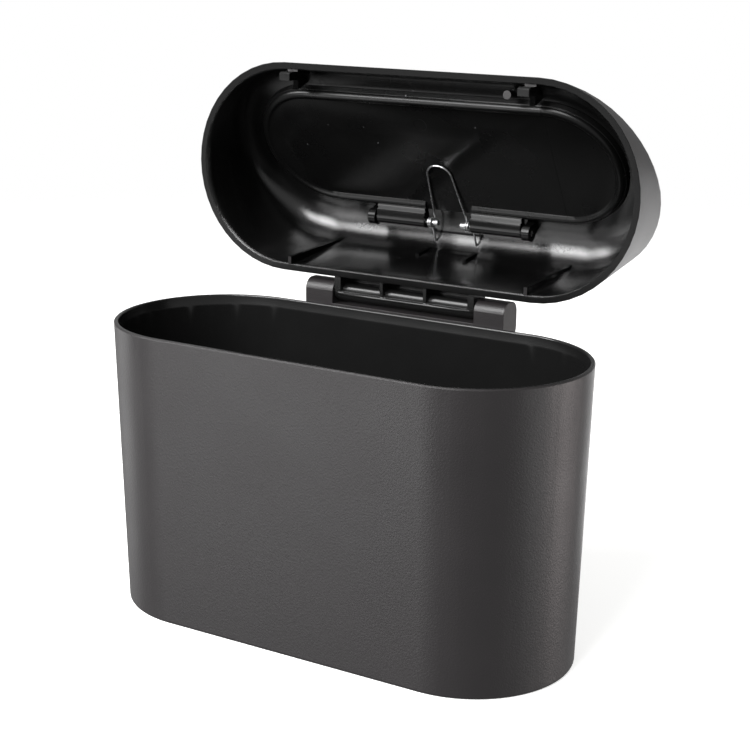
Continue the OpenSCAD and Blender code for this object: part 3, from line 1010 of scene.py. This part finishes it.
@dataclass
class FlapSpring:
    """The double torsion spring: two coils on the pins, tails in the lid's corner, a loop on the flap.

    Its lengths are in millimetres. blend_l and blend_start are not used.
    """

    node: bpy.types.Object
    axis: Vector
    slope_deg: float = LID_SLOPE_DEG - LID_OPEN_DEG
    wire_d: float = 0.7
    coil_r: float = 1.6
    coil_turns: int = 2
    coil_pitch: float = 0.82
    coil_steps: int = 40
    tail_x: float = 8.0
    tail_deg: float = 82.0
    loop_l: float = 23.5
    loop_half: float = 4.7
    loop_z: float = 2.4
    bow_steps: int = 12
    wire_sides: int = 16
    blend_start: float = 1.2
    blend_l: float = 2.0

    def half_path(self) -> list[Vector]:
        """Works out the wire's right half, in millimetres from the flap's axis, with Y up the lid's slope.

        Returns:
            Points from the tail's tip, round the coil and along the leg to the middle of the loop.
        """
        turn = 360 * self.coil_turns + 90 - self.tail_deg
        steps = round(turn / 360 * self.coil_steps)
        coil = []
        for i in range(steps + 1):
            a = math.radians(self.tail_deg + turn * i / steps)
            x = self.tail_x - self.coil_pitch * turn * i / steps / 360
            coil.append(Vector((x, self.coil_r * math.cos(a), self.coil_r * math.sin(a))))
        a = math.radians(self.tail_deg)
        tip = coil[0] + self.tail_length() * Vector((0, math.sin(a), -math.cos(a)))
        bow = []
        for i in range(self.bow_steps + 1):
            a = math.radians(90 * i / self.bow_steps)
            y = self.loop_half * (1 - math.sin(a)) - self.loop_l
            bow.append(Vector((self.loop_half * math.cos(a), y, self.loop_z)))
        return [tip, *coil, *bow]

    def tail_length(self) -> float:
        """Gives the length of a tail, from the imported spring's own reach into the lid's corner."""
        to_slope = self.to_frame().inverted()
        reach = max((to_slope @ (v.co / MM)).y for v in self.node.data.vertices)
        a = math.radians(self.tail_deg)
        start = self.coil_r * math.cos(a)
        return (reach - start - self.wire_d / 2 * math.cos(a)) / math.sin(a)

    def to_frame(self) -> Matrix:
        """Gives the matrix from the frame of the flap's axis, in millimetres, to the part's."""
        return Matrix.Translation(self.axis / MM) @ Matrix.Rotation(math.radians(self.slope_deg), 4, "X")

    def wire_tree(self, material: bpy.types.Material) -> bpy.types.NodeTree:
        """Builds the node tree that sweeps a round wire along a curve.

        Args:
            material: The wire's finish.

        Returns:
            The tree, with the inputs Path, Wire diameter, Sides and Finish.
        """
        tree = bpy.data.node_groups.new("swept_wire", "GeometryNodeTree")
        face = tree.interface
        face.new_socket("Path", in_out="INPUT", socket_type="NodeSocketGeometry")
        for label, kind in (
            ("Wire diameter", "NodeSocketFloat"),
            ("Sides", "NodeSocketInt"),
            ("Finish", "NodeSocketMaterial"),
        ):
            face.new_socket(label, in_out="INPUT", socket_type=kind)
        face.new_socket("Wire", in_out="OUTPUT", socket_type="NodeSocketGeometry")
        entry = tree.nodes.new("NodeGroupInput").outputs
        radius = add_node(
            tree, "ShaderNodeMath", {"operation": "MULTIPLY"}, {0: entry["Wire diameter"], 1: 0.5}
        )
        section = add_node(
            tree,
            "GeometryNodeCurvePrimitiveCircle",
            inputs={"Resolution": entry["Sides"], "Radius": radius},
        )
        swept = add_node(
            tree,
            "GeometryNodeCurveToMesh",
            inputs={"Curve": entry["Path"], "Profile Curve": section, "Fill Caps": True},
        )
        smooth = add_node(tree, "GeometryNodeSetShadeSmooth", inputs={"Geometry": swept})
        solid = add_node(tree, "GeometryNodeRealizeInstances", inputs={"Geometry": smooth})
        dressed = add_node(
            tree, "GeometryNodeSetMaterial", inputs={"Geometry": solid, "Material": entry["Finish"]}
        )
        add_node(tree, "NodeGroupOutput", inputs={"Wire": dressed})
        return tree

    def build(self, shelf: FinishShelf) -> bpy.types.Object:
        """Builds and dresses the spring.

        Args:
            shelf: Where the finish comes from.

        Returns:
            The piece.
        """
        half = self.half_path()
        other = [Vector((-p.x, p.y, p.z)) for p in reversed(half[:-1])]
        placed = [(self.to_frame() @ p) * MM for p in half + other]
        curve = bpy.data.curves.new("spring_path", "CURVE")
        curve.dimensions = "3D"
        spline = curve.splines.new("POLY")
        spline.points.add(len(placed) - 1)
        for point, place in zip(spline.points, placed):
            point.co = (*place, 1)
        path = bpy.data.objects.new("spring_path", curve)
        bpy.context.scene.collection.objects.link(path)
        material = shelf.get(Finish.SPRING)
        tree = self.wire_tree(material)
        swept = path.modifiers.new("swept_wire", "NODES")
        swept.node_group = tree
        values = {"Wire diameter": self.wire_d * MM, "Sides": self.wire_sides, "Finish": material}
        for item in tree.interface.items_tree:
            if item.in_out == "INPUT" and item.name in values:
                swept[item.identifier] = values[item.name]
        graph = bpy.context.evaluated_depsgraph_get()
        mesh = bpy.data.meshes.new_from_object(path.evaluated_get(graph))
        mesh.name = "flap_spring_wire"
        bpy.data.objects.remove(path)
        piece = new_piece("flap_spring_wire", mesh)
        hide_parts(self.node.name)
        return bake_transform(piece)


@dataclass(frozen=True)
class Softbox:
    """A soft studio light: where it stands round the bin, how bright its face is, and its size."""

    name: str
    azimuth: float
    elevation: float
    glow: float
    tint: str = "#ffffff"
    width: float = 0.42
    height: float = 0.42
    distance: float = 0.95

    def build(self, target: Vector) -> None:
        """Places the light so that it faces the target.

        Args:
            target: The point that it faces.
        """
        data = bpy.data.lights.new(self.name, "AREA")
        data.shape = "RECTANGLE"
        data.size = self.width
        data.size_y = self.height
        # A matt face of radiance glow sends out pi times glow from each square metre.
        data.energy = self.glow * math.pi * self.width * self.height
        data.color = linear(self.tint)[:3]
        light = bpy.data.objects.new(self.name, data)
        a, e = math.radians(self.azimuth), math.radians(self.elevation)
        away = Vector((math.sin(a) * math.cos(e), -math.cos(a) * math.cos(e), math.sin(e)))
        light.location = target + away * self.distance
        light.rotation_mode = "QUATERNION"
        light.rotation_quaternion = (-away).to_track_quat("-Z", "Y")
        light.visible_camera = False
        bpy.context.scene.collection.objects.link(light)


@dataclass(frozen=True)
class Studio:
    """The pale floor, the soft lights and the white surroundings."""

    floor_half: float = 0.9
    floor_clear: float = 0.45
    floor_colour: str = "#f4f4f3"
    floor_glow: float = 0.75
    surround: float = 0.4
    # Two keys and a weak high one at the front left, two wide panels high at the front, and five dim
    # panels all round whose middles are lower than the bin, so that they light its sides from below.
    lights: tuple[Softbox, ...] = (
        Softbox("key_left", -52, 26, 17.0, width=0.27, height=0.3),
        Softbox("key_front", -20, 26, 11.5, width=0.27, height=0.3),
        Softbox("key_high", -40, 48, 4.0, width=0.27, height=0.3),
        Softbox("high_front", 0, 36, 12.3),
        Softbox("high_left", -30, 36, 7.0),
        Softbox("edge_right", 120, -12, 4.5, tint="#fff4f3"),
        Softbox("fill_right", 90, -12, 1.7),
        Softbox("fill_front", -30, -12, 3.7),
        Softbox("edge_left", -90, -12, 1.7),
        Softbox("fill_back", 180, -12, 1.8),
    )

    def floor(self) -> None:
        """Lays a pale floor that fades out into the white surroundings.

        The photograph was cut out on white, and the bin shows no bright floor in its sides. So the floor
        is a backlit sheet that takes a faint shadow. It sends no light to the bin, and it doesn't stop the
        light of the panels that stand below it.
        """
        work = bmesh.new()
        bmesh.ops.create_circle(work, cap_ends=True, radius=self.floor_half, segments=96)
        mesh = bpy.data.meshes.new("floor")
        work.to_mesh(mesh)
        work.free()
        floor = new_piece("floor", mesh)
        material, tree, place = start_material("acrylic_sheet_white_backlit")
        away = add_node(
            tree, "ShaderNodeVectorMath", {"operation": "LENGTH"}, {0: place}, output="Value"
        )
        fade = add_node(
            tree,
            "ShaderNodeMapRange",
            {"interpolation_type": "SMOOTHSTEP"},
            {
                "Value": away,
                "From Min": self.floor_clear,
                "From Max": self.floor_half,
                "To Min": 1.0,
                "To Max": 0.0,
            },
        )
        shader = add_node(
            tree,
            "ShaderNodeBsdfPrincipled",
            inputs={
                "Base Color": linear(self.floor_colour),
                "Roughness": 0.9,
                "Emission Color": linear(self.floor_colour),
                "Emission Strength": self.floor_glow,
                "Alpha": fade,
            },
        )
        add_node(tree, "ShaderNodeOutputMaterial", inputs={"Surface": shader})
        mesh.materials.append(material)
        floor.visible_diffuse = False
        floor.visible_glossy = False
        floor.visible_shadow = False
        floor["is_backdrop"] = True

    def world(self) -> None:
        """Makes the surroundings: white where they are seen, dim where they only light the bin."""
        world = bpy.data.worlds.new("studio")
        world.use_nodes = True
        tree = world.node_tree
        tree.nodes.clear()
        seen = add_node(tree, "ShaderNodeLightPath", output="Is Camera Ray")
        dim = add_node(
            tree, "ShaderNodeBackground", inputs={"Color": WHITE, "Strength": self.surround}
        )
        white = add_node(tree, "ShaderNodeBackground", inputs={"Color": WHITE, "Strength": 1.0})
        mixed = add_node(tree, "ShaderNodeMixShader", inputs={0: seen, 1: dim, 2: white})
        add_node(tree, "ShaderNodeOutputWorld", inputs={"Surface": mixed})
        bpy.context.scene.world = world

    def build(self, target: Vector) -> None:
        """Builds the floor, the surroundings and the lights.

        Args:
            target: The point that the lights face.
        """
        self.floor()
        self.world()
        for light in self.lights:
            light.build(target)
        bpy.context.scene.view_settings.view_transform = "Standard"


@dataclass(frozen=True)
class PhotoCamera:
    """The photograph's viewpoint, found by fitting the bin's edges to it."""

    place_mm: tuple[float, float, float] = (265.95, -422.94, 221.70)
    azimuth: float = 31.03
    elevation: float = 15.21
    roll: float = 0.545
    focal_px: float = 1637.75
    middle_px: tuple[float, float] = (375.13, 369.33)
    image_px: float = 750.0
    sensor: float = 36.0

    def build(self) -> None:
        """Makes the camera and looks through it."""
        a, e, roll = (math.radians(v) for v in (self.azimuth, self.elevation, self.roll))
        back = Vector((math.sin(a) * math.cos(e), -math.cos(a) * math.cos(e), math.sin(e)))
        right = Vector((0, 0, 1)).cross(back).normalized()
        up = back.cross(right)
        turned_right = right * math.cos(roll) + up * math.sin(roll)
        turned_up = up * math.cos(roll) - right * math.sin(roll)
        data = bpy.data.cameras.new("photo_camera")
        data.sensor_width = self.sensor
        data.lens = self.focal_px / self.image_px * self.sensor
        half = self.image_px / 2
        data.shift_x = (half - self.middle_px[0]) / self.image_px
        data.shift_y = (self.middle_px[1] - half) / self.image_px
        data.clip_start = 0.01
        camera = bpy.data.objects.new("photo_camera", data)
        axes = Matrix((turned_right, turned_up, back)).transposed().to_4x4()
        camera.matrix_world = Matrix.Translation(Vector(self.place_mm) * MM) @ axes
        bpy.context.scene.collection.objects.link(camera)
        bpy.context.scene.camera = camera


def main() -> None:
    """Loads the frame and builds the bin's pieces, the studio and the camera."""
    logging.basicConfig(level=logging.INFO, format="%(message)s")
    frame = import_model()
    cad_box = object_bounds()
    nodes = frame["nodes"]
    hinges = {joint["name"]: joint for joint in frame["joints"]}
    lid_axis, flap_axis = (Vector(hinges[n]["pos_m"]) for n in ("lid_hinge", "flap_hinge"))
    shelf = FinishShelf()
    makers = [
        BinBody(nodes["bin_body"]),
        LidShell(nodes["lid_shell"], lid_axis),
        PushFlap(nodes["push_flap"], flap_axis),
        SteelPin(nodes["lid_hinge_pin"], "body"),
        SteelPin(nodes["flap_pin_left"], "lid"),
        SteelPin(nodes["flap_pin_right"], "lid"),
        FlapSpring(nodes["flap_spring"], flap_axis),
    ]
    for maker in makers:
        piece = maker.build(shelf)
        LOG.info("built %s with %d faces", piece.name, len(piece.data.polygons))
    middle = (cad_box[0] + cad_box[1]) / 2
    Studio().build(middle)
    PhotoCamera().build()


if __name__ == "__main__":
    main()
